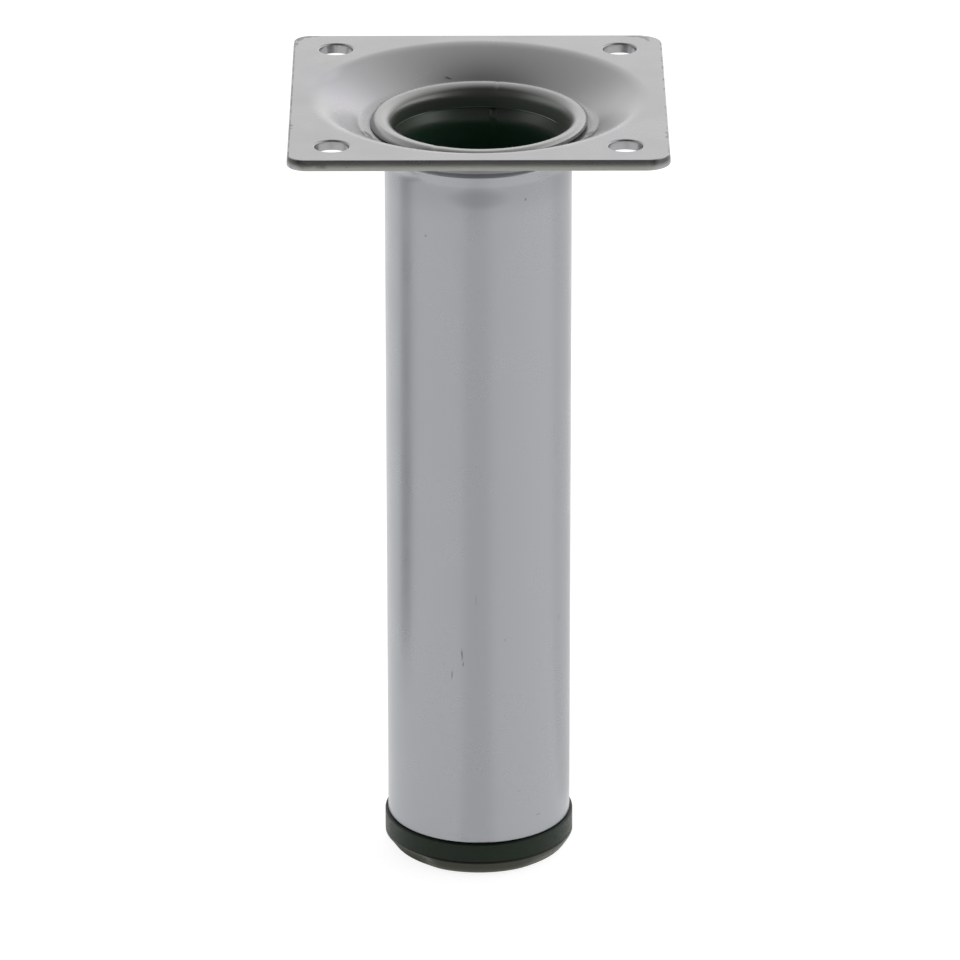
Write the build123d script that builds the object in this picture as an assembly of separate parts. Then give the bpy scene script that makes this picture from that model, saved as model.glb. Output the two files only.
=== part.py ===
from build123d import *
import os
from math import acos, atan2, cos, degrees, hypot, pi, radians, sin, tan

# Steel furniture leg, standing on its foot.
# Millimetres, +Z up, origin at the centre of the foot's underside.

# ---- driving dimensions ----
overall_height = 130.0      # floor to the top of the mounting plate

# mounting plate: pressed steel sheet with a round drawn dish
plate_width = 60.0
plate_thickness = 1.7
plate_corner_radius = 3.8
plate_edge_inset = 0.45     # the sheared edge leans in towards the top
plate_edge_lean = 1.2       # height of the leaning part
plate_edge_roll = 0.25      # rounding between the top and the leaning part
plate_edge_ease = 1.5       # rounding between the leaning part and the side
plate_burr_round = 0.12     # rounding of the bottom edge
screw_hole_diameter = 5.4
screw_hole_pitch = 46.0
screw_hole_roll = 0.3       # rounding of the holes' top edge
dish_outer_radius = 27.2    # where the flat ends
dish_depth = 4.5
dish_ring_radius = 18.4     # flat ring round the neck
dish_edge_bend = 5.0        # top surface, at the flat
dish_edge_tilt = 24.0       # degrees, where that bend runs into the wall
dish_ring_bend = 1.5        # top surface, at the ring
neck_hole_radius = 15.04

# tube: welded steel tube, locked into the plate by a bead and a rolled lip
tube_diameter = 30.0
tube_wall = 1.0
bead_foot_below_top = 10.1  # the bead's lower end on the tube
bead_crest_below_top = 8.2
bead_neck_below_top = 6.9   # upper end of the bead
bead_corner_radius = 15.95  # where the bead's two flanks would meet
bead_crest_round = 0.7
bead_neck_radius = 15.15    # just over the bead, where the plate sits
groove_top_below_top = 6.88 # the groove that the bead leaves inside the tube
groove_below_top = 7.2
groove_foot_below_top = 9.15
groove_radius = 14.7
lip_radius = 17.3
lip_below_top = 3.17        # the lip's top under the plate's top face
lip_throat_bend = 2.0
lip_outer_bend = 1.0
seam_azimuth = 80.0         # degrees from +X towards +Y
seam_width = 1.3
seam_height = 0.25
seam_notch_width = 0.5
seam_notch_depth = 0.35

# foot cap: moulded push-in plug with a proud rim
cap_radius = 15.5
cap_height = 5.5            # the part that shows under the tube
cap_foot_round = 1.3
cap_line_height = 2.3       # fine line round the rim
cap_line_depth = 0.12
cap_floor = 2.5
plug_radius = 13.2
plug_fin_radius = 13.95
plug_bore_radius = 11.6
plug_top = 19.5
plug_fins = (7.2, 10.4, 13.6, 16.8)

# gap left where two pieces only touch
seat_gap = 0.03

# ---- heights ----
top = overall_height
plate_under = top - plate_thickness
ring_top = top - dish_depth
ring_under = ring_top - plate_thickness
lip_top = top - lip_below_top
tube_outer = tube_diameter / 2
tube_inner = tube_outer - tube_wall


def turned(points, rounds):
    """Solid of revolution round Z from (radius, height) points.

    rounds maps a point's index to the rounding radius of that corner.
    """
    count = len(points)
    corners = []
    for index, (x, z) in enumerate(points):
        if index not in rounds:
            corners.append([(x, z)])
            continue
        radius = rounds[index]
        legs = []
        for px, pz in (points[index - 1], points[(index + 1) % count]):
            length = hypot(px - x, pz - z)
            legs.append(((px - x) / length, (pz - z) / length))
        (ax, az), (bx, bz) = legs
        half = acos(ax * bx + az * bz) / 2
        reach = radius / tan(half)
        mx, mz = ax + bx, az + bz
        scale = radius / sin(half) / hypot(mx, mz)
        cx, cz = x + mx * scale, z + mz * scale
        back = radius / hypot(x - cx, z - cz)
        corners.append([
            (x + ax * reach, z + az * reach),
            (cx + (x - cx) * back, cz + (z - cz) * back),
            (x + bx * reach, z + bz * reach),
        ])
    with BuildSketch(Plane.XZ) as section:
        with BuildLine():
            for index, corner in enumerate(corners):
                if len(corner) == 3:
                    ThreePointArc(*corner)
                Line(corner[-1], corners[(index + 1) % count][0])
        make_face()
    return revolve(section.sketch, axis=Axis.Z, revolution_arc=360)


def plate():
    # The dish's top surface is three arcs that run into each other: the bend
    # at the flat, a gently bulging wall that gets steeper towards the neck,
    # and the bend at the ring. The underside lies one sheet thickness below.
    run = dish_outer_radius - dish_ring_radius
    c, s = cos(radians(dish_edge_tilt)), sin(radians(dish_edge_tilt))
    rise = dish_edge_bend + dish_ring_bend - dish_depth
    both = dish_edge_bend + dish_ring_bend
    # the wall's radius is dish_edge_bend + extra, so that it touches both bends
    extra = (rise ** 2 + run ** 2 - both ** 2) / (2 * (both - rise * c - run * s))
    wall_radius = dish_edge_bend + extra
    ring_tilt = degrees(atan2(run + extra * s, rise + extra * c))
    edge = (dish_outer_radius, top - dish_edge_bend)
    wall = (edge[0] + extra * s, edge[1] - extra * c)
    ring = (dish_ring_radius, ring_top + dish_ring_bend)

    def arc(centre, radius, tilt0, tilt1):
        # points at three tilts; a negative radius bends the other way
        return [
            (centre[0] - radius * sin(radians(t)), centre[1] + radius * cos(radians(t)))
            for t in (tilt0, (tilt0 + tilt1) / 2, tilt1)
        ]

    sheet = plate_thickness
    top_edge = arc(edge, dish_edge_bend, 0, dish_edge_tilt)
    top_wall = arc(wall, wall_radius, dish_edge_tilt, ring_tilt)
    top_ring = arc(ring, -dish_ring_bend, ring_tilt, 0)
    low_ring = arc(ring, -dish_ring_bend - sheet, 0, ring_tilt)
    low_wall = arc(wall, wall_radius - sheet, ring_tilt, dish_edge_tilt)
    low_edge = arc(edge, dish_edge_bend - sheet, dish_edge_tilt, 0)
    top_wall[0], top_wall[2] = top_edge[2], top_ring[0]
    low_wall[0], low_wall[2] = low_ring[2], low_edge[0]

    with BuildSketch(Plane.XZ) as section:
        with BuildLine():
            ThreePointArc(*top_edge)
            ThreePointArc(*top_wall)
            ThreePointArc(*top_ring)
            Line(top_ring[2], (neck_hole_radius, ring_top))
            Line((neck_hole_radius, ring_top), (neck_hole_radius, ring_under))
            Line((neck_hole_radius, ring_under), low_ring[0])
            ThreePointArc(*low_ring)
            ThreePointArc(*low_wall)
            ThreePointArc(*low_edge)
            Line(low_edge[2], top_edge[0])
        make_face()
    dish = revolve(section.sketch, axis=Axis.Z, revolution_arc=360)

    with BuildPart() as flat:
        with BuildSketch(Plane.XY.offset(plate_under)):
            RectangleRounded(plate_width, plate_width, plate_corner_radius)
        extrude(amount=plate_thickness)
        top_face = flat.faces().sort_by(Axis.Z)[-1]
        chamfer(top_face.edges(), plate_edge_inset, plate_edge_lean, reference=top_face)
        lean_foot = [
            e for e in flat.edges().filter_by_position(
                Axis.Z, top - plate_edge_lean - 0.01, top - plate_edge_lean + 0.01)
        ]
        fillet(lean_foot, plate_edge_ease)
        fillet(flat.faces().sort_by(Axis.Z)[-1].edges(), plate_edge_roll)
        fillet(flat.faces().sort_by(Axis.Z)[0].edges(), plate_burr_round)
        with Locations((0, 0, plate_under + plate_thickness / 2)):
            Cylinder(dish_outer_radius, plate_thickness * 2, mode=Mode.SUBTRACT)
        with Locations((0, 0, plate_under + plate_thickness / 2)):
            with GridLocations(screw_hole_pitch, screw_hole_pitch, 2, 2):
                Cylinder(screw_hole_diameter / 2, plate_thickness * 2, mode=Mode.SUBTRACT)
        hole_edges = [
            e
            for e in flat.faces().sort_by(Axis.Z)[-1].edges()
            if abs(e.length - pi * screw_hole_diameter) < 0.01
        ]
        fillet(hole_edges, screw_hole_roll)
    return flat.part + dish


def tube():
    bead_foot = top - bead_foot_below_top
    bead_crest = top - bead_crest_below_top
    bead_top = ring_under - seat_gap
    lip_under = ring_top + seat_gap
    points = [
        (tube_inner, cap_height + seat_gap),            # 0
        (tube_outer, cap_height + seat_gap),            # 1
        (tube_outer, bead_foot),                        # 2 bead, lower end
        (bead_corner_radius, bead_crest),               # 3 crest
        (bead_neck_radius, top - bead_neck_below_top),  # 4 bead, upper end
        (bead_neck_radius, bead_top),                   # 5
        (tube_outer, bead_top),                         # 6 neck
        (tube_outer, lip_under),                        # 7
        (lip_radius, lip_under),                        # 8
        (lip_radius, lip_top),                          # 9
        (tube_inner, lip_top),                          # 10 throat
        (tube_inner, top - groove_top_below_top),       # 11 groove inside the bead
        (groove_radius, top - groove_below_top),        # 12
        (tube_inner, top - groove_foot_below_top),      # 13
    ]
    rounds = {
        1: 0.2, 2: 3.0, 3: bead_crest_round, 4: 0.4, 8: 0.25,
        9: lip_outer_bend, 10: lip_throat_bend, 12: 0.3, 13: 1.2,
    }
    body = turned(points, rounds)

    # weld seam: a low ridge down the inside, above the plug
    seam_low = plug_top + 1.0
    seam_high = bead_foot - 1.0
    ridge = Pos(0, 0, (seam_low + seam_high) / 2) * Rot(0, 0, seam_azimuth) * Pos(
        tube_inner - seam_height + 0.3, 0, 0
    ) * Box(0.6, seam_width, seam_high - seam_low)
    # and a notch where the seam crosses the rolled lip
    notch = Rot(0, 0, seam_azimuth) * Pos(15.2, 0, lip_top) * Box(
        2.6, seam_notch_width, seam_notch_depth * 2
    )
    return body + ridge - notch


def foot_cap():
    points = [
        (0.0, 0.0),                                           # 0
        (cap_radius, 0.0),                                    # 1
        (cap_radius, cap_line_height - 0.12),                 # 2
        (cap_radius - cap_line_depth, cap_line_height),       # 3
        (cap_radius, cap_line_height + 0.12),                 # 4
        (cap_radius, cap_height),                             # 5
        (plug_radius, cap_height),                            # 6
    ]
    for z in plug_fins:
        points += [
            (plug_radius, z),
            (plug_fin_radius, z),
            (plug_fin_radius, z + 0.5),
            (plug_radius, z + 1.3),
        ]
    points += [
        (plug_radius, plug_top - 0.8),
        (plug_radius - 0.6, plug_top),
        (plug_bore_radius, plug_top),
        (plug_bore_radius, cap_floor),
        (0.0, cap_floor),
    ]
    return turned(points, {1: cap_foot_round, 5: 0.25, len(points) - 2: 0.8})


os.makedirs("parts", exist_ok=True)
for name, make in (("mounting_plate", plate), ("tube", tube), ("foot_cap", foot_cap)):
    solid = make()
    solid.label = name
    export_step(solid, os.path.join("parts", name + ".step"))
    box = solid.bounding_box()
    print(name, "solids", len(solid.solids()), "valid", solid.is_valid,
          "volume_mm3", round(solid.volume, 1),
          "box", [round(v, 3) for v in (*box.min, *box.max)])
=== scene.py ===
import math

import bpy
import numpy as np
from mathutils import Matrix, Vector
from mathutils.geometry import delaunay_2d_cdt


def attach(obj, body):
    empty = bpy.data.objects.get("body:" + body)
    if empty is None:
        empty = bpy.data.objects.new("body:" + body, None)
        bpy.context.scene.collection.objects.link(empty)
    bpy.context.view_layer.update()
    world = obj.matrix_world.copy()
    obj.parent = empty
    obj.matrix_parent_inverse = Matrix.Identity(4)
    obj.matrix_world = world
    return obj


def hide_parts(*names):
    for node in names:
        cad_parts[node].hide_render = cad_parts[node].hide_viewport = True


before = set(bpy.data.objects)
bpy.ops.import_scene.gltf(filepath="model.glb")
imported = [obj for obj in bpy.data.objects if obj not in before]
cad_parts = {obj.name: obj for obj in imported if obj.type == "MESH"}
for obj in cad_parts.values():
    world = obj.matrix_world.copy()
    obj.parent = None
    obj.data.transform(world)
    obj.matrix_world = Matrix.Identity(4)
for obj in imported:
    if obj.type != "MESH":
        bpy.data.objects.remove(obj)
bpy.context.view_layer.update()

# All shape values below are millimetres; meshes are written in metres.
MM = 0.001

TOP = 130.0
SHEET = 1.7
PLATE_HALF = 30.0
CORNER_R = (4.2, 3.2, 3.3, 4.1)
HOLE_ROLL = 0.3
HOLE_R = 2.7
HOLE_HALF = 23.0
DISH_R = 27.2
DISH_DEEP = 4.5
RING_R = 18.4
NECK_R = 15.04
RING_Z = TOP - DISH_DEEP
RING_LOW = RING_Z - SHEET
SEAM_AZ = 80.0
GAP = 0.03


# ------------------------------------------------------------------ profiles
def rounded(points, rounds, closed, step=9.0, support=0.05):
    """(r, z) outline with rounded corners, and close points beside each bend."""
    n = len(points)
    out = []
    for i, (x, z) in enumerate(points):
        if i not in rounds or (not closed and i in (0, n - 1)):
            out.append([(x, z)])
            continue
        radius = rounds[i]
        legs = []
        for px, pz in (points[i - 1], points[(i + 1) % n]):
            d = math.hypot(px - x, pz - z)
            legs.append(((px - x) / d, (pz - z) / d))
        (ax, az), (bx, bz) = legs
        half = math.acos(max(-1, min(1, ax * bx + az * bz))) / 2
        reach = radius / math.tan(half)
        mx, mz = ax + bx, az + bz
        k = radius / math.sin(half) / math.hypot(mx, mz)
        cx, cz = x + mx * k, z + mz * k
        p0 = (x + ax * reach, z + az * reach)
        p1 = (x + bx * reach, z + bz * reach)
        a0 = math.atan2(p0[1] - cz, p0[0] - cx)
        a1 = math.atan2(p1[1] - cz, p1[0] - cx)
        turn = (a1 - a0 + math.pi) % (2 * math.pi) - math.pi
        m = max(3, int(math.ceil(abs(math.degrees(turn)) / step)))
        out.append(
            [(cx + radius * math.cos(a0 + turn * j / m), cz + radius * math.sin(a0 + turn * j / m)) for j in range(m + 1)]
        )
    line = []
    for i, run in enumerate(out):
        line.extend(run)
        if i == n - 1 and not closed:
            break
        a, b = run[-1], out[(i + 1) % n][0]
        d = math.hypot(b[0] - a[0], b[1] - a[1])
        cuts = set()
        if d > 3 * support:
            cuts.update((support / d, 1 - support / d))
        many = int(d // 2.5)
        for j in range(1, many + 1):
            cuts.add(j / (many + 1))
        for t in sorted(cuts):
            line.append((a[0] + (b[0] - a[0]) * t, a[1] + (b[1] - a[1]) * t))
    return line


def smooth01(t):
    t = np.clip(t, 0, 1)
    return t * t * (3 - 2 * t)


def wave(a, seed, terms=5, low=2):
    """Smooth seeded wobble round a circle, about -1 to 1."""
    rng = np.random.default_rng(seed)
    total = np.zeros_like(a)
    for k in range(terms):
        total += np.sin((low + k) * a + rng.uniform(0, 2 * math.pi)) * rng.uniform(0.4, 1) / (1 + 0.5 * k)
    return total / 2.0


def mesh_object(name, verts, faces, attributes=None):
    me = bpy.data.meshes.new(name)
    me.from_pydata([tuple(v) for v in verts], [], faces)
    me.validate()
    me.update()
    for key, values in (attributes or {}).items():
        layer = me.attributes.new(key, "FLOAT", "POINT")
        layer.data.foreach_set("value", np.asarray(values, np.float32))
    me.polygons.foreach_set("use_smooth", [True] * len(me.polygons))
    ob = bpy.data.objects.new(name, me)
    bpy.context.scene.collection.objects.link(ob)
    return ob


def azimuths(base, fine_at=(), width=6.0, fine=0.25):
    values = set(round(360.0 * k / base, 6) for k in range(base))
    for centre in fine_at:
        k = int(width / fine)
        values.update(round((centre + j * fine) % 360.0, 6) for j in range(-k, k + 1))
    values = sorted(values)
    kept = [values[0]]
    for v in values[1:]:
        if v - kept[-1] > 0.12:
            kept.append(v)
    return np.radians(np.array(kept))


def normals_of(prof, closed):
    p = np.array(prof)
    if closed:
        d = np.roll(p, -1, 0) - np.roll(p, 1, 0)
    else:
        d = np.empty_like(p)
        d[1:-1] = p[2:] - p[:-2]
        d[0], d[-1] = p[1] - p[0], p[-1] - p[-2]
    length = np.hypot(d[:, 0], d[:, 1])
    length[length < 1e-9] = 1
    return np.stack([d[:, 1] / length, -d[:, 0] / length], 1)


# ------------------------------------------------------------------ tube
bead_top, lip_under = RING_LOW - GAP, RING_Z + GAP
LIP_TOP = TOP - 3.17
tube_points = [
    (14.0, 5.5 + GAP),
    (15.0, 5.5 + GAP),
    (15.0, TOP - 10.1),
    (15.95, TOP - 8.2),
    (15.15, TOP - 6.9),
    (15.15, bead_top),
    (15.0, bead_top),
    (15.0, lip_under),
    (17.3, lip_under),
    (17.3, LIP_TOP),
    (14.0, LIP_TOP),
    (14.0, TOP - 6.7),
    (13.93, TOP - 6.76),
    (13.93, TOP - 6.86),
    (14.7, TOP - 6.9),
    (14.7, TOP - 7.15),
    (14.0, TOP - 9.15),
]
tube_rounds = {
    0: 0.06, 1: 0.2, 2: 3.0, 3: 0.7, 4: 0.4, 5: 0.05, 7: 0.1, 8: 0.25,
    9: 0.9, 10: 2.0, 12: 0.03, 13: 0.04, 15: 0.1, 16: 3.0,
}
prof = rounded(tube_points, tube_rounds, True)
P = np.array(prof)
Nn = normals_of(prof, True)
A = azimuths(288, (SEAM_AZ,))
na, npf = len(A), len(P)
# the outline runs up the outside, over the lip and down the inside
lip_index = int(np.argmax(P[:, 1] + 0.0001 * P[:, 0]))
inner = np.zeros(npf, bool)
start = [k for k in range(npf) if P[k, 1] > LIP_TOP - 1e-6][-1]
inner[start:] = True
inner |= (P[:, 0] < 14.05) & (P[:, 1] < 20)
R = np.repeat(P[None, :, 0], na, 0)
Z = np.repeat(P[None, :, 1], na, 0)
AA = np.repeat(A[:, None], npf, 1)
NR = np.repeat(Nn[None, :, 0], na, 0)
NZ = np.repeat(Nn[None, :, 1], na, 0)
INN = np.repeat(inner[None, :], na, 0)
delta = (np.degrees(AA) - SEAM_AZ + 180) % 360 - 180
S = np.radians(delta) * R
push = np.zeros_like(R)
# weld ridge down the inside, with the small ripples of the weld
rip = 1 + 0.22 * np.sin(Z * 2 * math.pi / 1.1 + 0.7 * np.sin(Z * 0.9)) + 0.15 * np.sin(Z * 3.1 + 1)
ridge = 0.23 * np.exp(-((S / 0.5) ** 4)) * rip * (0.4 + 0.6 * smooth01((Z - 121.0) / 0.6))
push += ridge * INN * smooth01((Z - 20.5) / 1.5) * smooth01((123.05 - Z) / 0.5)
# notch across the rolled lip, with a raised edge on each side
lipzone = smooth01((Z - 125.9) / 0.5)
push += lipzone * (-0.06 * np.exp(-((S / 0.3) ** 2)) + 0.008 * np.exp(-(((np.abs(S) - 0.6) / 0.25) ** 2)))
R2 = R + NR * push
Z2 = Z + NZ * push
# the thin edge over the groove is broken in places
thin = np.exp(-(((Z - (TOP - 6.81)) / 0.09) ** 2)) * INN * (R < 13.97)
R2 = R2 + 0.07 * thin * np.clip(0.45 + 1.6 * wave(AA, 31, 9, 7), 0, 1)
# the rolled lip is a little uneven
lip_only = smooth01((Z - 125.3) / 0.6)
R2 = R2 + lip_only * 0.045 * wave(AA, 3) * smooth01((R - 15.2) / 1.0)
Z2 = Z2 - lip_only * (0.03 + 0.03 * wave(AA, 5))
dent = np.exp(-((((np.degrees(AA) - 243.5 + 180) % 360 - 180) / 2.2) ** 2))
Z2 = Z2 - lip_only * 0.07 * dent * smooth01((R - 14.6) / 0.8)
# the lip was rolled slightly off centre, and its throat is tighter on one side
rise_in = smooth01((Z - 122.5) / 3.5) * INN
R2 = R2 + 0.32 * (0.5 + 0.5 * np.cos(AA)) * rise_in * np.clip((15.9 - R) / 1.9, 0, 1)
off = np.maximum(smooth01((Z - 125.55) / 0.9), rise_in)
X = np.clip(R2 * np.cos(AA) + 0.3 * off, -17.3, 17.6)
Y = R2 * np.sin(AA)
verts = np.stack([X, Y, Z2], -1).reshape(-1, 3) * MM
faces = []
for i in range(na):
    i2 = (i + 1) % na
    for j in range(npf):
        j2 = (j + 1) % npf
        faces.append((i * npf + j, i2 * npf + j, i2 * npf + j2, i * npf + j2))
# how far inside a point is: 0 on the paint outside, 1 on the dark bare inside
dark = INN * smooth01((126.75 - Z) / 0.8)
dark = np.where(Z < 6.2, np.maximum(dark, INN * 1.0), dark)
edge = np.clip(np.exp(-((np.hypot(R - 15.0, Z - 5.53) / 0.35) ** 2)), 0, 1)
tube = mesh_object("steel_tube", verts, faces, {"inside": dark.ravel(), "edge": edge.ravel()})

# ------------------------------------------------------------------ plate
plate_verts = []
plate_faces = []
plate_edge = []


def add_loop(points, wear=0.0):
    first = len(plate_verts)
    plate_verts.extend(points)
    plate_edge.extend([wear] * len(points))
    return list(range(first, first + len(points)))


def bridge(a, b):
    n = len(a)
    for k in range(n):
        k2 = (k + 1) % n
        plate_faces.append((a[k], a[k2], b[k2], b[k]))


def outline(d, z, wear=0.0, corner=14, side=26):
    pts = []
    for q in range(4):
        base = math.radians(90 * q)
        big = CORNER_R[q]
        r = big - d
        cx = (PLATE_HALF - big) * (1 if q in (0, 3) else -1)
        cy = (PLATE_HALF - big) * (1 if q in (0, 1) else -1)
        for k in range(corner + 1):
            a = base + math.radians(90.0 * k / corner)
            pts.append((cx + r * math.cos(a), cy + r * math.sin(a), z))
        nxt = (q + 1) % 4
        nx = (PLATE_HALF - CORNER_R[nxt]) * (1 if nxt in (0, 3) else -1)
        ny = (PLATE_HALF - CORNER_R[nxt]) * (1 if nxt in (0, 1) else -1)
        a = base + math.radians(90)
        x0, y0 = pts[-1][:2]
        rn = CORNER_R[nxt] - d
        x1, y1 = nx + rn * math.cos(a), ny + rn * math.sin(a)
        for k in range(1, side):
            t = k / side
            pts.append((x0 + (x1 - x0) * t, y0 + (y1 - y0) * t, z))
    # the edge leans in less at the left and right
    wide = (PLATE_HALF - 0.4 * d) / (PLATE_HALF - d)
    return add_loop([(x * wide, y, h) for x, y, h in pts], wear)


def circle(cx, cy, r, z, n, wear=0.0):
    return add_loop(
        [(cx + r * math.cos(2 * math.pi * k / n), cy + r * math.sin(2 * math.pi * k / n), z) for k in range(n)], wear
    )


def flat(outer, holes):
    """Fills the flat between the outer loop and the round ones."""
    ids = list(outer)
    edges = []
    group = {}
    for loop in [outer] + holes:
        if loop is not outer:
            ids.extend(loop)
    where = {v: k for k, v in enumerate(ids)}
    for g, loop in enumerate([outer] + holes):
        for k, v in enumerate(loop):
            edges.append((where[v], where[loop[(k + 1) % len(loop)]]))
            group[v] = g
    coords = [Vector(plate_verts[v][:2]) for v in ids]
    got = delaunay_2d_cdt(coords, edges, [], 0, 1e-6, True)
    origin = got[3]
    for tri in got[2]:
        own = [ids[origin[k][0]] for k in tri]
        gs = {group[v] for v in own}
        if len(gs) == 1 and gs != {0}:
            continue
        plate_faces.append(tuple(own))


LOW = TOP - SHEET
# the sheared edge: a tight turn at the top, then a long easy one down to the side
TURN, TIGHT, EASY = math.radians(60.0), 0.14, 2.8
reach = EASY * (1 - math.sin(TURN))
inset = reach + TIGHT * math.sin(TURN)
top_outer = outline(inset + 0.05, TOP)
last = outline(inset, TOP)
bridge(top_outer, last)
for k in range(1, 6):
    a = TURN * k / 5
    new = outline(inset - TIGHT * math.sin(a), TOP - TIGHT * (1 - math.cos(a)), 0.5)
    bridge(last, new)
    last = new
z0 = TOP - TIGHT * (1 - math.cos(TURN))
for k in range(1, 11):
    a = TURN + (math.pi / 2 - TURN) * k / 10
    new = outline(EASY * (1 - math.sin(a)), z0 - EASY * (math.cos(TURN) - math.cos(a)), 1.0 if k < 5 else 0.4)
    bridge(last, new)
    last = new
for d, z, w in (
    (0.0, LOW + 0.2, 0.2),
    (0.01, LOW + 0.14, 0.3),
    (0.03, LOW + 0.09, 0.6),
    (0.07, LOW + 0.04, 1.0),
    (0.14, LOW, 0.6),
):
    new = outline(d, z, w)
    bridge(last, new)
    last = new
low_outer = outline(0.26, LOW)
bridge(last, low_outer)

hole_tops, hole_lows = [], []
for sx in (-1, 1):
    for sy in (-1, 1):
        cx, cy = sx * HOLE_HALF, sy * HOLE_HALF
        n = 64
        first = circle(cx, cy, HOLE_R + HOLE_ROLL + 0.05, TOP, n)
        hole_tops.append(first)
        last = circle(cx, cy, HOLE_R + HOLE_ROLL, TOP, n)
        bridge(first, last)
        for k in range(1, 9):
            a = math.radians(90 * k / 8)
            new = circle(cx, cy, HOLE_R + HOLE_ROLL * (1 - math.sin(a)), TOP - HOLE_ROLL * (1 - math.cos(a)), n, 0.7)
            bridge(last, new)
            last = new
        for r, z, w in (
            (HOLE_R, TOP - HOLE_ROLL - 0.05, 0.2),
            (HOLE_R, TOP - 0.9, 0.0),
            (HOLE_R + 0.03, TOP - 1.0, 0.0),
            (HOLE_R + 0.05, LOW + 0.12, 0.2),
            (HOLE_R + 0.08, LOW + 0.04, 0.8),
            (HOLE_R + 0.14, LOW, 0.5),
        ):
            new = circle(cx, cy, r, z, n, w)
            bridge(last, new)
            last = new
        end = circle(cx, cy, HOLE_R + 0.2, LOW, n)
        bridge(last, end)
        hole_lows.append(end)

# the dish's section: edge bend, bulging wall, ring bend, each touching the next
EDGE_BEND, RING_BEND, EDGE_TILT = 5.0, 1.5, math.radians(24.0)
run, both = DISH_R - RING_R, EDGE_BEND + RING_BEND
rise = both - DISH_DEEP
c0, s0 = math.cos(EDGE_TILT), math.sin(EDGE_TILT)
extra = (rise**2 + run**2 - both**2) / (2 * (both - rise * c0 - run * s0))
WALL_BEND = EDGE_BEND + extra
RING_TILT = math.atan2(run + extra * s0, rise + extra * c0)
edge_c = (DISH_R, TOP - EDGE_BEND)
wall_c = (edge_c[0] + extra * s0, edge_c[1] - extra * c0)
ring_c = (RING_R, RING_Z + RING_BEND)


def sweep(centre, radius, t0, t1, n):
    """Points on a bend, by the surface's tilt; a negative radius bends the other way."""
    return [
        (centre[0] - radius * math.sin(t0 + (t1 - t0) * k / n), centre[1] + radius * math.cos(t0 + (t1 - t0) * k / n))
        for k in range(n + 1)
    ]


dish_prof = [(DISH_R + 0.05, TOP)]
dish_prof += sweep(edge_c, EDGE_BEND, 0, EDGE_TILT, 12)
dish_prof += sweep(wall_c, WALL_BEND, EDGE_TILT, RING_TILT, 16)[1:]
dish_prof += sweep(ring_c, -RING_BEND, RING_TILT, 0, 12)[1:]
for r in (18.3, 17.9, 17.4, 16.6, 15.8, NECK_R + 0.28):
    dish_prof.append((r, RING_Z))
for k in range(1, 5):
    a = math.radians(90 * k / 4)
    dish_prof.append((NECK_R + 0.2 * (1 - math.sin(a)), RING_Z - 0.2 * (1 - math.cos(a))))
dish_prof += [(NECK_R, RING_Z - 0.3), (NECK_R, RING_LOW + 0.2)]
for k in range(1, 5):
    a = math.radians(90 * k / 4)
    dish_prof.append((NECK_R + 0.12 * (1 - math.cos(a)), RING_LOW + 0.12 * (1 - math.sin(a))))
for r in (NECK_R + 0.2, 16.0, 17.2, 18.3):
    dish_prof.append((r, RING_LOW))
dish_prof += sweep(ring_c, -RING_BEND - SHEET, 0, RING_TILT, 10)
dish_prof += sweep(wall_c, WALL_BEND - SHEET, RING_TILT, EDGE_TILT, 12)[1:]
dish_prof += sweep(edge_c, EDGE_BEND - SHEET, EDGE_TILT, 0, 10)[1:]
dish_prof.append((DISH_R + 0.05, LOW))
NDISH = 216
loops = [circle(0, 0, r, z, NDISH) for r, z in dish_prof]
for a, b in zip(loops, loops[1:]):
    bridge(a, b)
flat(top_outer, hole_tops + [loops[0]])
flat(low_outer, hole_lows + [loops[-1]])

pv = np.array(plate_verts)
# the dish is drawn in a press: its wall is very slightly uneven
rr = np.hypot(pv[:, 0], pv[:, 1])
aa = np.arctan2(pv[:, 1], pv[:, 0])
wall = smooth01((DISH_R - 0.6 - rr) / 2.0) * smooth01((rr - 18.6) / 1.0)
pv[:, 2] += wall * 0.035 * wave(aa, 11, 6, 2)
plate = mesh_object("mounting_plate_sheet", pv * MM, plate_faces, {"edge": plate_edge})

# ------------------------------------------------------------------ foot cap
cap_points = [(0.0, 0.0), (15.5, 0.0), (15.5, 2.2), (15.37, 2.3), (15.5, 2.4), (15.5, 5.5), (13.2, 5.5)]
for z in (7.2, 10.4, 13.6, 16.8):
    cap_points += [(13.2, z), (13.95, z), (13.95, z + 0.5), (13.2, z + 1.3)]
cap_points += [(13.2, 18.7), (12.6, 19.5), (11.6, 19.5), (11.6, 2.5), (0.0, 2.5)]
cap_rounds = {1: 1.3, 2: 0.05, 4: 0.05, 5: 0.25, 6: 0.1, len(cap_points) - 2: 0.8}
for k in range(7, len(cap_points) - 2):
    cap_rounds.setdefault(k, 0.08)
cprof = rounded(cap_points, cap_rounds, False)
CP = np.array(cprof)
CN = normals_of(cprof, False)
A = azimuths(256, (178.0, 358.0), 3.0, 0.3)
na, npf = len(A), len(CP)
R = np.repeat(CP[None, :, 0], na, 0)
Z = np.repeat(CP[None, :, 1], na, 0)
AA = np.repeat(A[:, None], npf, 1)
NR = np.repeat(CN[None, :, 0], na, 0)
deg = np.degrees(AA)
outer_side = smooth01((R - 13.0) / 1.0) * (Z < 5.6)
push = np.zeros_like(R)
# the floor edge is worn flatter at the front left
worn = np.exp(-((((deg - 214 + 180) % 360 - 180) / 24.0) ** 4))
push -= 1.5 * worn * smooth01((2.3 - Z) / 1.3) * outer_side
right_low = np.exp(-((((deg - 328 + 180) % 360 - 180) / 26.0) ** 4))
push -= 0.75 * right_low * smooth01((2.2 - Z) / 2.0) * outer_side
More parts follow.
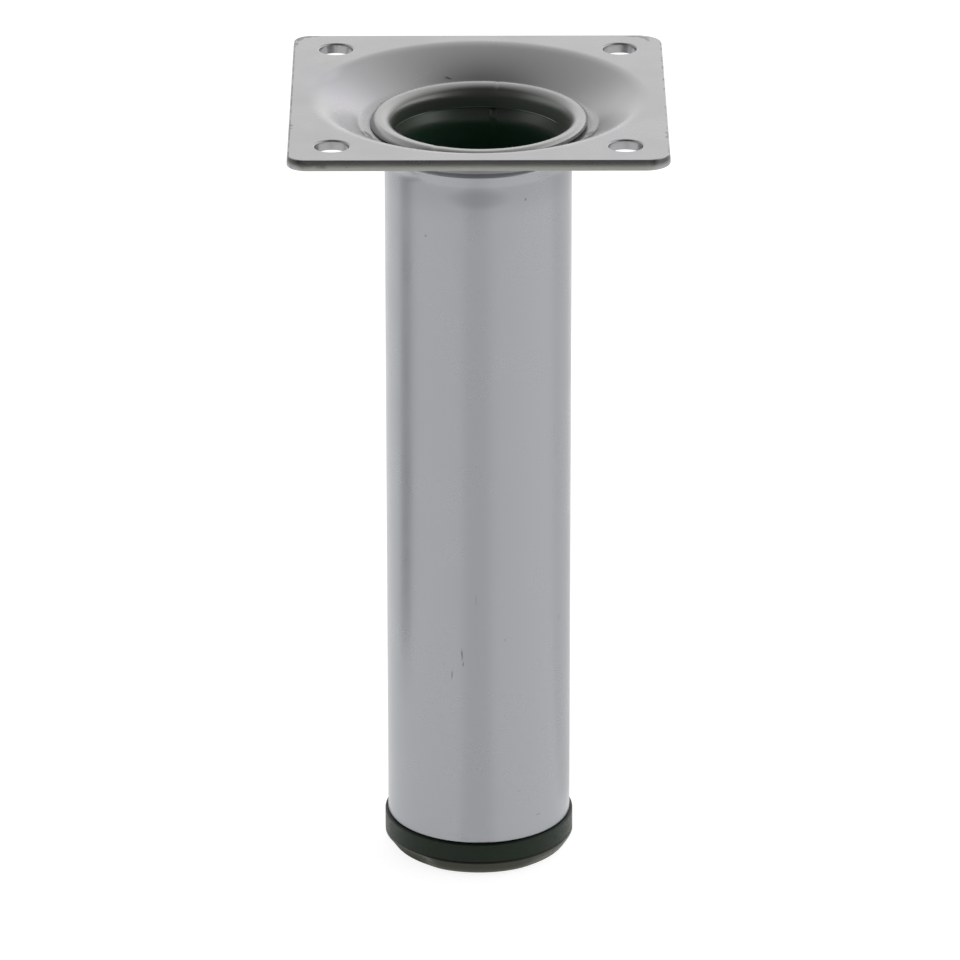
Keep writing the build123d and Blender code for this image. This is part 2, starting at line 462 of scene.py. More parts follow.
# mould parting lines, one on each side
for c, h in ((178.0, 0.03), (358.0, 0.06)):
    s = np.radians((deg - c + 180) % 360 - 180) * R
    push += h * np.exp(-((s / 0.16) ** 2)) * outer_side * smooth01((Z - 0.8) / 0.8)
R2 = np.maximum(R + np.where(R > 12.9, push * np.abs(NR), 0), 0)
R2 = np.minimum(R2, 15.5)
# the moulding is not quite round
R2 = R2 - outer_side * 0.03 * (1 + wave(AA, 21, 4, 2)) / 2 * (NR > 0.5)
Z2 = Z
ring_verts = np.stack([R2 * np.cos(AA), R2 * np.sin(AA), Z2], -1)
verts, faces, index = [], [], np.zeros((na, npf), int)
for j in range(npf):
    if CP[j, 0] < 1e-6:
        index[:, j] = len(verts)
        verts.append((0.0, 0.0, CP[j, 1]))
    else:
        for i in range(na):
            index[i, j] = len(verts)
            verts.append(tuple(ring_verts[i, j]))
for i in range(na):
    i2 = (i + 1) % na
    for j in range(npf - 1):
        loop = [index[i, j], index[i2, j], index[i2, j + 1], index[i, j + 1]]
        clean = []
        for v in loop:
            if v not in clean:
                clean.append(int(v))
        if len(clean) >= 3:
            faces.append(tuple(clean))
cap = mesh_object("foot_cap_moulding", np.array(verts) * MM, faces)

for ob in (tube, plate, cap):
    import bmesh

    bm = bmesh.new()
    bm.from_mesh(ob.data)
    bmesh.ops.recalc_face_normals(bm, faces=bm.faces)
    bm.to_mesh(ob.data)
    bm.free()
    ob.data.polygons.foreach_set("use_smooth", [True] * len(ob.data.polygons))


# ------------------------------------------------------------------ materials
class Tree:
    """Short forms for the node kinds used below."""

    def __init__(self, name):
        self.mat = bpy.data.materials.new(name)
        self.mat.use_nodes = True
        self.t = self.mat.node_tree
        self.t.nodes.clear()
        self.out = self.t.nodes.new("ShaderNodeOutputMaterial")
        self.bsdf = self.t.nodes.new("ShaderNodeBsdfPrincipled")
        self.t.links.new(self.bsdf.outputs[0], self.out.inputs[0])
        tc = self.t.nodes.new("ShaderNodeTexCoord")
        # object coordinates in millimetres
        self.p = self.vec("MULTIPLY", tc.outputs["Object"], (1000, 1000, 1000))

    def put(self, socket, value):
        if isinstance(value, bpy.types.NodeSocket):
            self.t.links.new(value, socket)
        elif isinstance(value, (tuple, list)) and len(value) == 3 and socket.type == "RGBA":
            socket.default_value = (*value, 1)
        else:
            socket.default_value = value

    def vec(self, op, a, b=None, out=0):
        n = self.t.nodes.new("ShaderNodeVectorMath")
        n.operation = op
        self.put(n.inputs[0], a)
        if b is not None:
            self.put(n.inputs[3] if op == "SCALE" else n.inputs[1], b)
        return n.outputs["Value"] if op in ("LENGTH", "DISTANCE", "DOT_PRODUCT") else n.outputs["Vector"]

    def math(self, op, a, b=None, c=None, clamp=False):
        n = self.t.nodes.new("ShaderNodeMath")
        n.operation = op
        n.use_clamp = clamp
        for s, v in zip(n.inputs, (a, b, c)):
            if v is not None:
                self.put(s, v)
        return n.outputs[0]

    def noise(self, scale, detail=2, rough=0.5, vec=None, distort=0.0):
        n = self.t.nodes.new("ShaderNodeTexNoise")
        n.inputs["Scale"].default_value = scale
        n.inputs["Detail"].default_value = detail
        n.inputs["Roughness"].default_value = rough
        n.inputs["Distortion"].default_value = distort
        self.t.links.new(vec or self.p, n.inputs["Vector"])
        return n.outputs["Fac"] if "Fac" in n.outputs else n.outputs[0]

    def remap(self, v, a, b, c=0.0, d=1.0, smooth=True):
        n = self.t.nodes.new("ShaderNodeMapRange")
        n.interpolation_type = "SMOOTHSTEP" if smooth else "LINEAR"
        for name, x in (("From Min", a), ("From Max", b), ("To Min", c), ("To Max", d)):
            n.inputs[name].default_value = x
        self.put(n.inputs["Value"], v)
        return n.outputs["Result"]

    def mix(self, f, a, b):
        n = self.t.nodes.new("ShaderNodeMix")
        n.data_type = "RGBA"
        self.put(n.inputs[0], f)
        self.put(n.inputs[6], a)
        self.put(n.inputs[7], b)
        return n.outputs[2]

    def fmix(self, f, a, b):
        n = self.t.nodes.new("ShaderNodeMix")
        n.data_type = "FLOAT"
        self.put(n.inputs[0], f)
        self.put(n.inputs[2], a)
        self.put(n.inputs[3], b)
        return n.outputs[0]

    def attr(self, name):
        n = self.t.nodes.new("ShaderNodeAttribute")
        n.attribute_name = name
        return n.outputs["Fac"]

    def xyz(self, v):
        n = self.t.nodes.new("ShaderNodeSeparateXYZ")
        self.put(n.inputs[0], v)
        return n.outputs

    def bump(self, height, strength, distance, normal=None):
        n = self.t.nodes.new("ShaderNodeBump")
        n.inputs["Strength"].default_value = strength
        n.inputs["Distance"].default_value = distance
        self.put(n.inputs["Height"], height)
        if normal is not None:
            self.put(n.inputs["Normal"], normal)
        return n.outputs[0]

    def spot(self, centre, half, turn=0.0, soft=0.5, p=None, axis="Y_AXIS"):
        """1 inside a small ellipsoid mark at centre (mm), 0 outside."""
        v = self.vec("SUBTRACT", p or self.p, centre)
        if turn:
            n = self.t.nodes.new("ShaderNodeVectorRotate")
            n.rotation_type = axis
            n.inputs["Angle"].default_value = math.radians(turn)
            self.put(n.inputs["Vector"], v)
            v = n.outputs[0]
        v = self.vec("MULTIPLY", v, tuple(1.0 / h for h in half))
        return self.remap(self.vec("LENGTH", v), soft, 1.0, 1.0, 0.0)

    def top_of(self, values):
        got = values[0]
        for v in values[1:]:
            got = self.math("MAXIMUM", got, v)
        return got

    def set(self, **kw):
        for k, v in kw.items():
            self.put(self.bsdf.inputs[k.replace("_", " ")], v)


def paint(t, tone, rough):
    """Silver-grey satin paint: base colour, roughness and bump common to plate and tube."""
    fine = t.noise(2.4, 2, 0.5)
    broad = t.noise(0.12, 3, 0.55)
    grain = t.noise(1.7, 1, 0.5)
    streak = t.noise(1.0, 3, 0.6, t.vec("MULTIPLY", t.p, (1.1, 1.1, 0.03)))
    light = tuple(c * 1.02 for c in tone)
    deep = tuple(c * 0.98 for c in tone)
    colour = t.mix(t.math("ADD", t.math("MULTIPLY", fine, 0.45), t.math("MULTIPLY", broad, 0.55)), deep, light)
    r = t.math("ADD", t.remap(broad, 0.3, 0.7, rough - 0.025, rough + 0.025), t.math("MULTIPLY", t.math("SUBTRACT", grain, 0.5), 0.02))
    return colour, r, fine, grain, streak


def tube_material():
    t = Tree("tube_silver_paint")
    colour, rough, fine, grain, streak = paint(t, (0.345, 0.353, 0.371), 0.29)
    wob = t.vec("ADD", t.p, t.vec("SCALE", t.vec("SUBTRACT", t.noise_vec(3.0), (0.5, 0.5, 0.5)), 0.35))
    darks = [
        t.spot((-2.75, -14.75, 39.2), (0.2, 1, 1.45), 3, 0.25, wob),
        t.spot((-2.55, -14.75, 37.6), (0.16, 1, 0.6), 0, 0.25, wob),
        t.spot((-4.38, -14.35, 35.5), (0.13, 1, 1.2), -4, 0.25, wob),
        t.spot((-8.42, -12.4, 111.0), (0.2, 0.6, 0.24), 0, 0.3, wob),
        t.spot((7.44, -13.0, 117.3), (0.26, 0.6, 0.38), 12, 0.3, wob),
        t.spot((9.67, -11.5, 9.2), (0.55, 0.8, 0.1), 0, 0.3, wob),
        t.spot((0.3, -15.0, 5.75), (2.6, 0.8, 0.09), 1.5, 0.3, wob),
        t.spot((2.75, 15.6, 126.6), (0.24, 1.4, 0.7), 0, 0.3),
    ]
    faints = [
        t.spot((-0.47, -15.0, 49.0), (0.14, 1, 1.35), 2, 0.2, wob),
        t.spot((13.0, -7.5, 42.6), (0.15, 0.6, 0.85), 0, 0.2, wob),
        t.spot((4.22, -14.4, 41.7), (0.2, 0.6, 0.3), 0, 0.2, wob),
        t.spot((11.64, -9.5, 17.1), (0.3, 0.6, 0.12), 0, 0.2, wob),
        t.spot((6.53, -13.5, 14.3), (0.4, 0.6, 0.12), 6, 0.2, wob),
        t.spot((-2.4, -14.8, 6.3), (1.3, 0.6, 0.1), -3, 0.2, wob),
    ]
    dark = t.top_of(darks)
    faint = t.math("MULTIPLY", t.top_of(faints), 0.3)
    mark = t.math("MAXIMUM", t.math("MULTIPLY", dark, 0.62), faint)
    # painted shade under the bead: a soft dark patch at the front, and a faint darker band all round just below the
    # bead
    bead_shade = t.spot((-0.2, -15.0, 118.0), (6.4, 4.0, 2.2), 0, 0.3)
    below = t.spot((-0.4, -15.0, 115.5), (3.4, 3.0, 6.0), 0, 0.0)
    sx, sy, sz = t.xyz(t.p)
    under = t.math("MULTIPLY", t.remap(sz, 113.5, 118.8, 0.0, 0.14), t.remap(sz, 120.4, 119.6))
    bead_shade = t.math("ADD", t.math("MULTIPLY", bead_shade, 0.2), t.math("MULTIPLY", below, 0.07))
    bead_shade = t.math("ADD", bead_shade, under)
    colour = t.mix(bead_shade, colour, (0.1, 0.1, 0.105))
    colour = t.mix(mark, colour, (0.12, 0.125, 0.11))
    tx, ty, tz = t.xyz(t.p)
    colour = t.mix(t.math("MULTIPLY", t.remap(tz, 125.4, 125.9), 0.9), colour, (0.352, 0.351, 0.345))
    inside = t.attr("inside")
    oxide_and_painted_light = t.mix(t.noise(0.6, 4, 0.6), (0.045, 0.135, 0.08), (0.08, 0.165, 0.11))
    # lighter towards the mouth, darker deeper down the bore
    oxide_and_painted_light = t.mix(t.remap(tz, 119.8, 121.3), oxide_and_painted_light, (0.13, 0.155, 0.13))
    oxide_and_painted_light = t.mix(t.remap(tz, 123.6, 124.8), oxide_and_painted_light, (0.15, 0.155, 0.145))
    # painted reflection: a paler band high in the throat, at the sides but not at the middle
    aside = t.remap(t.math("ABSOLUTE", t.math("SUBTRACT", tx, 0.3)), 0.8, 4.0)
    pale = t.math("MULTIPLY", t.math("MULTIPLY", t.remap(tz, 125.0, 125.45), t.remap(tz, 126.1, 125.75)), aside)
    oxide_and_painted_light = t.mix(pale, oxide_and_painted_light, (0.21, 0.215, 0.2))
    oxide_and_painted_light = t.mix(t.math("MULTIPLY", t.remap(tz, 125.8, 126.15), 0.8), oxide_and_painted_light, (0.09, 0.093, 0.088))
    # painted highlight: the upper bore is made lighter towards +X, as if light from the left fell on the right-hand
    # wall
    oxide_and_painted_light = t.mix(t.math("MULTIPLY", t.remap(tx, 1.0, 11.0, 0.0, 0.5), t.remap(tz, 119.0, 121.5)), oxide_and_painted_light, (0.27, 0.29, 0.27))
    worn = t.math("MULTIPLY", t.attr("edge"), t.remap(t.noise(0.3, 2, 0.5), 0.58, 0.7))
    colour = t.mix(t.math("MULTIPLY", worn, 0.3), colour, (0.2, 0.2, 0.2))
    colour = t.mix(inside, colour, oxide_and_painted_light)
    t.set(
        Base_Color=colour,
        Metallic=t.fmix(inside, 0.88, 0.45),
        Roughness=t.math("ADD", t.fmix(inside, rough, 0.3), t.math("MULTIPLY", mark, 0.2)),
        IOR=1.5,
        Coat_Weight=0.1,
        Coat_Roughness=0.2,
        Coat_IOR=1.5,
    )
    h = t.math("ADD", t.math("MULTIPLY", grain, 0.6), t.math("MULTIPLY", t.noise(0.9, 2, 0.5), 0.4))
    h = t.math("SUBTRACT", h, t.math("MULTIPLY", dark, 0.5))
    t.put(t.bsdf.inputs["Normal"], t.bump(h, 0.06, 0.00002))
    return t.mat


def noise_vec(self, scale):
    n = self.t.nodes.new("ShaderNodeTexNoise")
    n.inputs["Scale"].default_value = scale
    n.inputs["Detail"].default_value = 2
    self.t.links.new(self.p, n.inputs["Vector"])
    return n.outputs["Color"]


Tree.noise_vec = noise_vec


def plate_material():
    t = Tree("plate_silver_paint")
    colour, rough, fine, grain, streak = paint(t, (0.349, 0.346, 0.354), 0.29)
    x, y, z = t.xyz(t.p)
    colour = t.mix(t.remap(x, -27.0, 15.0, 0.7, 0.0), colour, (0.353, 0.345, 0.352))
    wob = t.vec("ADD", t.p, t.vec("SCALE", t.vec("SUBTRACT", t.noise_vec(1.6), (0.5, 0.5, 0.5)), 0.8))
    fine_wob = t.vec("ADD", t.p, t.vec("SCALE", t.vec("SUBTRACT", t.noise_vec(1.6), (0.5, 0.5, 0.5)), 0.45))
    # sheared side face: a little olive and duller below the rolled edge
    ax = t.math("ABSOLUTE", x)
    ay = t.math("ABSOLUTE", y)
    rim = t.remap(t.math("MAXIMUM", ax, ay), 29.5, 29.9)
    side = t.math("MULTIPLY", rim, t.remap(z, TOP - 0.35, TOP - 0.8, 0.0, 1.0))
    colour = t.mix(t.math("MULTIPLY", side, 0.8), colour, (0.325, 0.327, 0.29))
    # the rolled edge is bare and dark in short dashes along the sides
    dashes = t.remap(t.noise(0.5, 3, 0.6, t.vec("MULTIPLY", t.p, (1, 1, 0.2))), 0.36, 0.6, 0.35, 1.0)
    left_line = t.remap(x, -29.52, -29.68)
    right_line = t.math("MULTIPLY", t.remap(x, 29.5, 29.75), t.remap(t.noise(0.7, 2, 0.6), 0.52, 0.62))
    worn = t.math("MULTIPLY", t.math("ADD", t.math("MULTIPLY", left_line, dashes), right_line), 0.85)
    worn = t.math("MULTIPLY", worn, t.remap(ay, 29.3, 28.0))
    worn = t.math("MULTIPLY", worn, t.remap(z, TOP - 0.8, TOP - 0.45))
    colour = t.mix(worn, colour, (0.09, 0.09, 0.08))

    def corner(cx, cy):
        """Distances past a corner's centre: along X, along Y and in all."""
        a = t.math("MAXIMUM", t.math("MULTIPLY", t.math("SUBTRACT", x, cx), math.copysign(1, cx)), 0.0)
        b = t.math("MAXIMUM", t.math("MULTIPLY", t.math("SUBTRACT", y, cy), math.copysign(1, cy)), 0.0)
        return a, b, t.math("SQRT", t.math("ADD", t.math("MULTIPLY", a, a), t.math("MULTIPLY", b, b)))

    # painted shade: the dark line under the top edge, which the front face shows by reflection, runs on round the two
    # front corners
    front_corner_shade = []
    for sx, r in ((1, CORNER_R[3]), (-1, CORNER_R[2])):
        a, b, d = corner(sx * (30 - r), -(30 - r))
        line = t.math("MULTIPLY", t.remap(d, r - 0.6, r - 0.35), t.remap(a, 0.3, 1.6))
        line = t.math("MULTIPLY", line, t.remap(b, 0.2, 1.0))
        line = t.math("MULTIPLY", line, t.remap(z, TOP - 1.5, TOP - 0.5))
        front_corner_shade.append(t.math("MULTIPLY", line, t.remap(z, TOP - 0.06, TOP - 0.16)))
    colour = t.mix(t.math("MULTIPLY", t.top_of(front_corner_shade), 0.9), colour, (0.045, 0.045, 0.042))
    # dark wear along the arcs of the two back corners
    breaks = t.remap(t.noise(0.75, 3, 0.6), 0.44, 0.53)
    a, b, d = corner(-(30 - CORNER_R[1]), 30 - CORNER_R[1])
    wear = t.math("MULTIPLY", t.remap(d, 1.7, 2.2), t.math("MULTIPLY", t.remap(b, 0.1, 0.6), breaks))
    wear_left = t.math("MULTIPLY", wear, t.remap(a, 0.05, 0.5))
    a, b, d = corner(30 - CORNER_R[0], 30 - CORNER_R[0])
    d = t.math("ADD", t.math("MULTIPLY", t.math("MULTIPLY", a, a), 2.25), t.math("MULTIPLY", b, b))
    band = t.math("MULTIPLY", t.remap(d, 6.6, 9.0), t.remap(d, 13.6, 10.8))
    band = t.math("MULTIPLY", band, t.remap(b, 0.5, 1.3))
    wear_right = t.math("MULTIPLY", t.math("MULTIPLY", band, t.remap(a, 0.0, 0.4)), 0.8)
    # painted reflection: a lighter, bluer patch over the left of the dish
    left_dish_sheen = t.spot((-22.5, 6.0, 128.0), (7.5, 12.0, 9.0), 0, 0.0)
    colour = t.mix(t.math("MULTIPLY", left_dish_sheen, 0.9), colour, (0.375, 0.367, 0.392))
    # painted reflection: lighter patches on the dish wall at front left and front right
    pale = t.math(
        "MAXIMUM",
        t.spot((-20.3, -5.2, 127.0), (3.4, 6.0, 3.0), 0, 0.2),
        t.math("MULTIPLY", t.spot((20.8, -5.6, 127.0), (3.2, 5.0, 3.0), 0, 0.2), 0.7),
    )
    colour = t.mix(t.math("MULTIPLY", pale, 0.8), colour, (0.43, 0.42, 0.425))
    # painted highlight: a light arc along the dish's left edge
    left_arc_highlight = t.spot((-23.4, 10.9, 129.0), (1.2, 5.0, 4.0), 25, 0.1, None, "Z_AXIS")
    colour = t.mix(t.math("MULTIPLY", left_arc_highlight, 0.6), colour, (0.45, 0.44, 0.465))
    # painted shade: a darker patch on the ring and wall at the right of the dish
    right_ring_shade = t.spot((18.25, -2.0, 125.7), (0.75, 5.5, 1.5), 3, 0.3, None, "Z_AXIS")
    colour = t.mix(t.math("MULTIPLY", right_ring_shade, 0.5), colour, (0.2, 0.2, 0.198))
    marks = t.top_of(
        [
            wear_left,
            wear_right,
            t.spot((-29.2, 27.7, 130), (0.5, 1.3, 1.5), 0, 0.4, wob),
            t.spot((-28.3, 28.9, 130), (1.0, 0.6, 1.5), 0, 0.4, wob),
            t.spot((-26.4, 29.3, 130), (0.8, 0.4, 1.5), 0, 0.4, wob),
            t.spot((-29.4, 25.6, 130), (0.3, 0.8, 1.2), 0, 0.4, wob),
            t.spot((27.2, 28.3, 130), (1.1, 0.5, 1.0), 0, 0.3, wob),
            t.spot((25.3, 29.0, 130), (1.6, 0.4, 1.0), 0, 0.3, wob),
            t.spot((-29.6, -13.5, 129.8), (0.5, 0.7, 1.0), 0, 0.3, wob),
            t.spot((-29.5, -14.8, 129.8), (0.35, 0.3, 1.0), 0, 0.3, wob),
            t.spot((29.6, -19.2, 129.8), (0.4, 0.9, 1.0), 0, 0.3, wob),
            t.spot((29.6, -17.2, 129.8), (0.35, 0.6, 1.0), 0, 0.3, wob),
            t.spot((-20.6, -29.8, 129.0), (0.35, 0.6, 0.18), 0, 0.2, wob),
        ]
    )
    scuffs = t.top_of(
        [
            t.spot((-4.84, 19.3, 126.1), (0.9, 0.3, 1.0), 20, 0.2, wob),
            t.spot((17.75, -5.0, 125.5), (0.5, 1.5, 1.2), 25, 0.5, fine_wob, "Z_AXIS"),
            t.spot((18.5, -5.1, 125.5), (1.3, 0.45, 1.2), -20, 0.5, fine_wob, "Z_AXIS"),
            t.spot((17.3, -7.0, 125.5), (0.5, 1.5, 1.2), 30, 0.5, fine_wob, "Z_AXIS"),
            t.spot((-17.5, -5.3, 125.5), (0.42, 2.2, 1.2), -22, 0.5, fine_wob, "Z_AXIS"),
            t.spot((-16.9, -7.2, 125.5), (0.42, 2.0, 1.2), -32, 0.5, fine_wob, "Z_AXIS"),
            t.spot((-18.3, -5.0, 125.5), (0.3, 1.4, 1.2), -14, 0.5, fine_wob, "Z_AXIS"),
        ]
    )
    # a darker patch on the front edge, at the left
    panel = t.math(
        "ADD",
        t.math(
            "MAXIMUM",
            t.spot((-27.6, -30.0, 129.05), (1.5, 0.7, 0.62), 0, 0.0, wob),
            t.spot((-24.4, -30.0, 128.95), (1.1, 0.7, 0.5), 0, 0.0, wob),
        ),
        t.math("MULTIPLY", t.spot((-26.2, -30.0, 129.3), (3.4, 0.8, 0.4), 0, 0.3, wob), 0.7),
        clamp=True,
    )
    # darker round the ring beside the lip: painted shade of the gap under the lip, broken up like dirt
    ring_dirt_and_shade = t.math(
        "MULTIPLY",
        t.remap(t.vec("LENGTH", t.vec("MULTIPLY", t.p, (1, 1, 0))), 18.2, 17.2),
        t.remap(t.noise(0.5, 4, 0.6), 0.35, 0.65, 0.35, 1.0),
    )
    colour = t.mix(t.math("MULTIPLY", marks, 0.72), colour, (0.07, 0.07, 0.065))
    colour = t.mix(t.math("MULTIPLY", scuffs, 0.85), colour, (0.07, 0.067, 0.062))
    colour = t.mix(t.math("MULTIPLY", panel, 0.55), colour, (0.12, 0.13, 0.115))
    colour = t.mix(t.math("MULTIPLY", ring_dirt_and_shade, 0.25), colour, (0.16, 0.155, 0.14))
    # painted shadow on the ring in the gap just outside the lip
    lip_gap_shadow = t.remap(t.vec("LENGTH", t.vec("MULTIPLY", t.vec("SUBTRACT", t.p, (0.3, 0, 0)), (1, 1, 0))), 18.1, 17.5)
    colour = t.mix(t.math("MULTIPLY", t.math("MULTIPLY", lip_gap_shadow, t.remap(z, 125.8, 125.6)), 0.45), colour, (0.06, 0.06, 0.055))
    t.set(
        Base_Color=colour,
        Metallic=0.88,
        Roughness=t.math("ADD", rough, t.math("MULTIPLY", side, 0.08)),
        IOR=1.5,
        Coat_Weight=0.1,
        Coat_Roughness=0.2,
        Coat_IOR=1.5,
    )
    h = t.math("ADD", t.math("MULTIPLY", grain, 0.6), t.math("MULTIPLY", t.noise(0.9, 2, 0.5), 0.4))
    shear = t.math("MULTIPLY", side, t.noise(1.0, 3, 0.6, t.vec("MULTIPLY", t.p, (2.5, 2.5, 0.35))))
    h = t.math("ADD", h, t.math("MULTIPLY", shear, 0.45))
    t.put(t.bsdf.inputs["Normal"], t.bump(h, 0.06, 0.00002))
    return t.mat


def cap_material():
    t = Tree("cap_black_plastic")
    x, y, z = t.xyz(t.p)
    low = t.remap(z, 2.06, 1.94, 0.0, 1.0)
    body = t.mix(t.noise(1.2, 4, 0.6), (0.0025, 0.01, 0.003), (0.006, 0.015, 0.006))
    dusty = t.mix(t.noise(0.8, 4, 0.6), (0.043, 0.046, 0.032), (0.062, 0.064, 0.048))
    scuff = t.remap(t.noise(0.9, 5, 0.7, t.vec("MULTIPLY", t.p, (1, 1, 2.5))), 0.58, 0.78)
    colour = t.mix(low, body, dusty)
    line = t.math("MULTIPLY", t.remap(z, 1.92, 2.04), t.remap(z, 2.4, 2.25))
    colour = t.mix(t.math("MULTIPLY", line, 0.8), colour, (0.003, 0.004, 0.003))
    colour = t.mix(t.math("MULTIPLY", scuff, 0.25), colour, (0.075, 0.078, 0.064))
    t.set(
        Base_Color=colour,
        Metallic=0.0,
        Roughness=t.remap(t.noise(1.5, 3, 0.6), 0.3, 0.7, 0.36, 0.5),
        IOR=1.3,
    )
    h = t.math("ADD", t.math("MULTIPLY", t.noise(2.6, 2, 0.6), 0.6), t.math("MULTIPLY", t.noise(1.1, 3, 0.5), 0.4))
    t.put(t.bsdf.inputs["Normal"], t.bump(h, 0.35, 0.00004))
    return t.mat


tube.data.materials.append(tube_material())
plate.data.materials.append(plate_material())
cap.data.materials.append(cap_material())

for ob, node, slot in (
    (plate, "mounting_plate", "plate_paint"),
    (tube, "tube", "tube_paint"),
    (cap, "foot_cap", "cap_plastic"),
):
    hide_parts(node)
    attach(ob, "root")

# ------------------------------------------------------------------ floor
bpy.ops.mesh.primitive_circle_add(vertices=96, radius=12.0, fill_type="NGON", location=(0, 0, -0.0001))
floor = bpy.context.object
floor.name = "studio_floor"
t = Tree("floor_pale")
t.set(
    Base_Color=t.mix(t.noise(0.02, 3, 0.5), (0.41, 0.41, 0.41), (0.43, 0.43, 0.43)),
    Roughness=t.remap(t.noise(0.05, 3, 0.5), 0.3, 0.7, 0.72, 0.82),
    Specular_IOR_Level=0.2,
    Emission_Color=(1, 1, 1),
    Emission_Strength=0.85,
)
floor.data.materials.append(t.mat)


def card(name, azimuth, half, near, far, level):
    """Low card on the floor that only the paint's reflections see; azimuth from -Y towards +X."""
    pts = []
    for r, side in ((near, -1), (near, 1), (far, 1), (far, -1)):
        a = math.radians(azimuth + side * half)
        pts.append((math.sin(a) * r * MM, -math.cos(a) * r * MM, 0.0))
    me = bpy.data.meshes.new(name)
    me.from_pydata(pts, [], [(0, 1, 2, 3)])
    ob = bpy.data.objects.new(name, me)
    bpy.context.scene.collection.objects.link(ob)
    m = bpy.data.materials.new(name)
    m.use_nodes = True
    nt = m.node_tree
    nt.nodes.clear()
    o = nt.nodes.new("ShaderNodeOutputMaterial")
    e = nt.nodes.new("ShaderNodeEmission")
    e.inputs["Color"].default_value = (level, level, level, 1)
    nt.links.new(e.outputs[0], o.inputs[0])
    me.materials.append(m)
    for flag in ("camera", "diffuse", "transmission", "volume_scatter", "shadow"):
        setattr(ob, "visible_" + flag, False)
    return ob


card("card_left", -99.0, 9.5, 100.0, 430.0, 0.55)
card("card_front", -2.0, 16.0, 24.0, 430.0, 0.92)
card("card_right", 127.0, 25.0, 30.0, 600.0, 0.93)

# ------------------------------------------------------------------ light
world = bpy.data.worlds.new("studio")
bpy.context.scene.world = world
world.use_nodes = True
wt = world.node_tree
wt.nodes.clear()
w_out = wt.nodes.new("ShaderNodeOutputWorld")
bg = wt.nodes.new("ShaderNodeBackground")
tc = wt.nodes.new("ShaderNodeTexCoord")
sep = wt.nodes.new("ShaderNodeSeparateXYZ")
wt.links.new(tc.outputs["Generated"], sep.inputs[0])


def wmath(op, a, b=None, c=None, clamp=False):
    n = wt.nodes.new("ShaderNodeMath")
    n.operation = op
    n.use_clamp = clamp
    for s, v in zip(n.inputs, (a, b, c)):
        if v is None:
            continue
        if isinstance(v, bpy.types.NodeSocket):
            wt.links.new(v, s)
        else:
            s.default_value = v
    return n.outputs[0]


# brightness by height above the horizon, 0 to 90 degrees
height = wmath("DIVIDE", wmath("ARCSINE", sep.outputs[2]), math.pi / 2, clamp=True)
ramp = wt.nodes.new("ShaderNodeValToRGB")
ramp.color_ramp.interpolation = "LINEAR"
stops = [(0, 1.45), (2.5, 1.42), (5, 1.2), (17, 1.22), (24, 1.17), (36, 0.86), (52, 0.73), (62, 0.64), (74, 0.54), (90, 0.44)]
for k, (deg_up, v) in enumerate(stops):
    if k in (0, len(stops) - 1):
        e = ramp.color_ramp.elements[0 if k == 0 else -1]
        e.position = deg_up / 90
    else:
        e = ramp.color_ramp.elements.new(deg_up / 90)
    e.color = (v / 2,) * 3 + (1,)
wt.links.new(height, ramp.inputs[0])
# dark overhead, leaning to the front
dot = wt.nodes.new("ShaderNodeVectorMath")
dot.operation = "DOT_PRODUCT"
wt.links.new(tc.outputs["Generated"], dot.inputs[0])
dot.inputs[1].default_value = Vector((-0.06, -0.866, 0.5)).normalized()
shade = wt.nodes.new("ShaderNodeMapRange")
shade.interpolation_type = "SMOOTHSTEP"
for key, v in (("From Min", 0.32), ("From Max", 0.866), ("To Min", 1.0), ("To Max", 0.1)):
    shade.inputs[key].default_value = v
wt.links.new(dot.outputs["Value"], shade.inputs["Value"])
level = wmath("MULTIPLY_ADD", sep.outputs[0], 0.36, 1.0)
level = wmath("MULTIPLY_ADD", sep.outputs[1], 0.12, level)
level = wmath("MULTIPLY", level, shade.outputs["Result"])
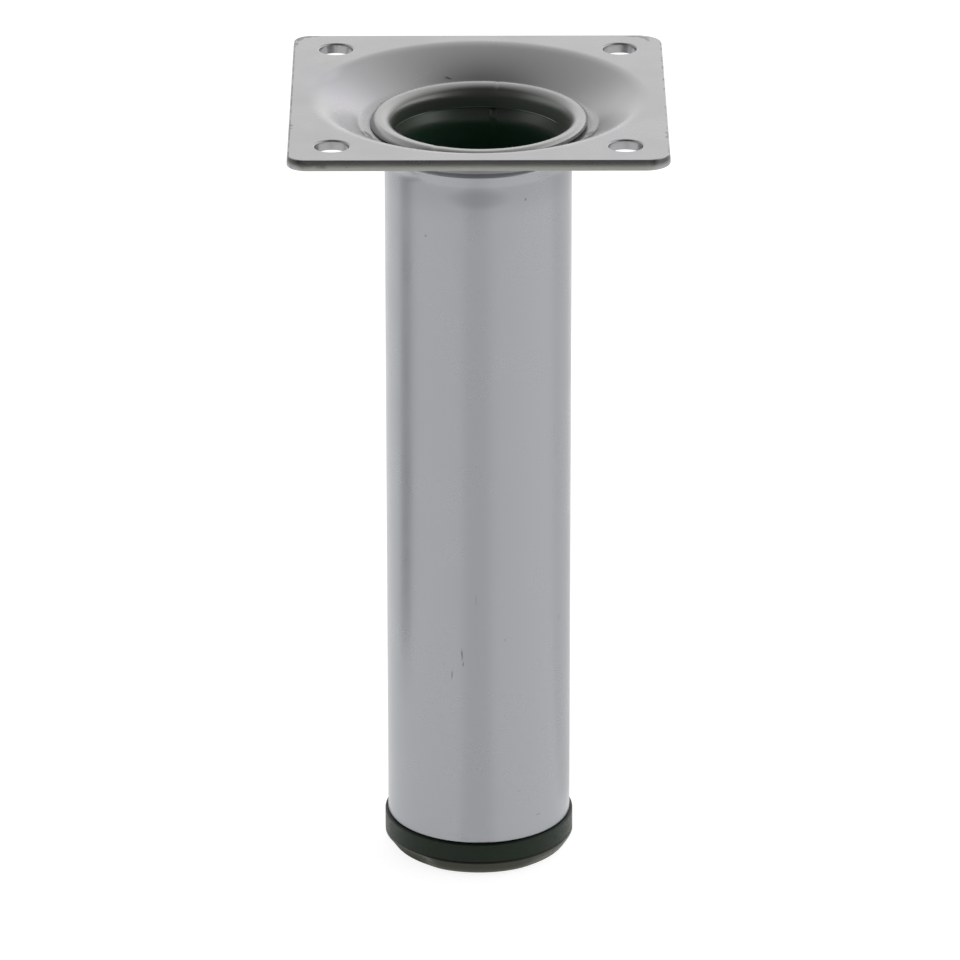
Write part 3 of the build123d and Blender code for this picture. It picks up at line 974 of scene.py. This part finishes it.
# seen directly, the backdrop is as pale as the floor on every side
direct = wt.nodes.new("ShaderNodeLightPath").outputs["Is Camera Ray"]
level = wmath("MAXIMUM", level, wmath("MULTIPLY", direct, 1.3))
level = wmath("MULTIPLY", level, 2.0)
wt.links.new(ramp.outputs[0], bg.inputs["Color"])
wt.links.new(level, bg.inputs["Strength"])
wt.links.new(bg.outputs[0], w_out.inputs[0])


def area(name, where, at, size, level, size_y=None):
    """Soft light; level is its brightness as seen in a reflection."""
    data = bpy.data.lights.new(name, "AREA")
    data.shape = "RECTANGLE" if size_y else "SQUARE"
    data.size = size
    if size_y:
        data.size_y = size_y
    data.energy = level * math.pi * size * (size_y or size)
    ob = bpy.data.objects.new(name, data)
    bpy.context.scene.collection.objects.link(ob)
    ob.location = where
    ob.rotation_euler = (Vector(at) - Vector(where)).to_track_quat("-Z", "Y").to_euler()
    ob.visible_camera = False
    return ob


area("soft_right", (1.25, 1.2, 1.25), (0, 0, 0.08), 1.4, 0.12)
area("soft_left", (-1.5, 0.9, 0.9), (0, 0, 0.08), 1.0, 0.12)

# ------------------------------------------------------------------ camera
DIST, PITCH, YAW, ROLL, FOCUS = 1.2, 22.555, -0.155, -0.052, 7373.0
a, e, r = math.radians(YAW), math.radians(PITCH), math.radians(ROLL)
back = Vector((math.sin(a) * math.cos(e), -math.cos(a) * math.cos(e), math.sin(e)))
right = (-back).cross(Vector((0, 0, 1))).normalized()
up = right.cross(-back)
right, up = right * math.cos(r) + up * math.sin(r), up * math.cos(r) - right * math.sin(r)
place = Vector((0, 0, 0.06382)) + back * DIST + right * ((480 - 478.58) / FOCUS * DIST)
cam_data = bpy.data.cameras.new("camera")
cam_data.sensor_width = 36.0
cam_data.lens = FOCUS / 960.0 * 36.0
cam_data.clip_start, cam_data.clip_end = 0.05, 60.0
camera = bpy.data.objects.new("camera", cam_data)
bpy.context.scene.collection.objects.link(camera)
camera.matrix_world = Matrix(
    (
        (right.x, up.x, back.x, place.x),
        (right.y, up.y, back.y, place.y),
        (right.z, up.z, back.z, place.z),
        (0, 0, 0, 1),
    )
)
bpy.context.scene.camera = camera

scene = bpy.context.scene
scene.view_settings.view_transform = "Standard"
scene.view_settings.look = "None"
scene.view_settings.exposure = 0.0
scene.view_settings.gamma = 1.0

bpy.context.view_layer.update()
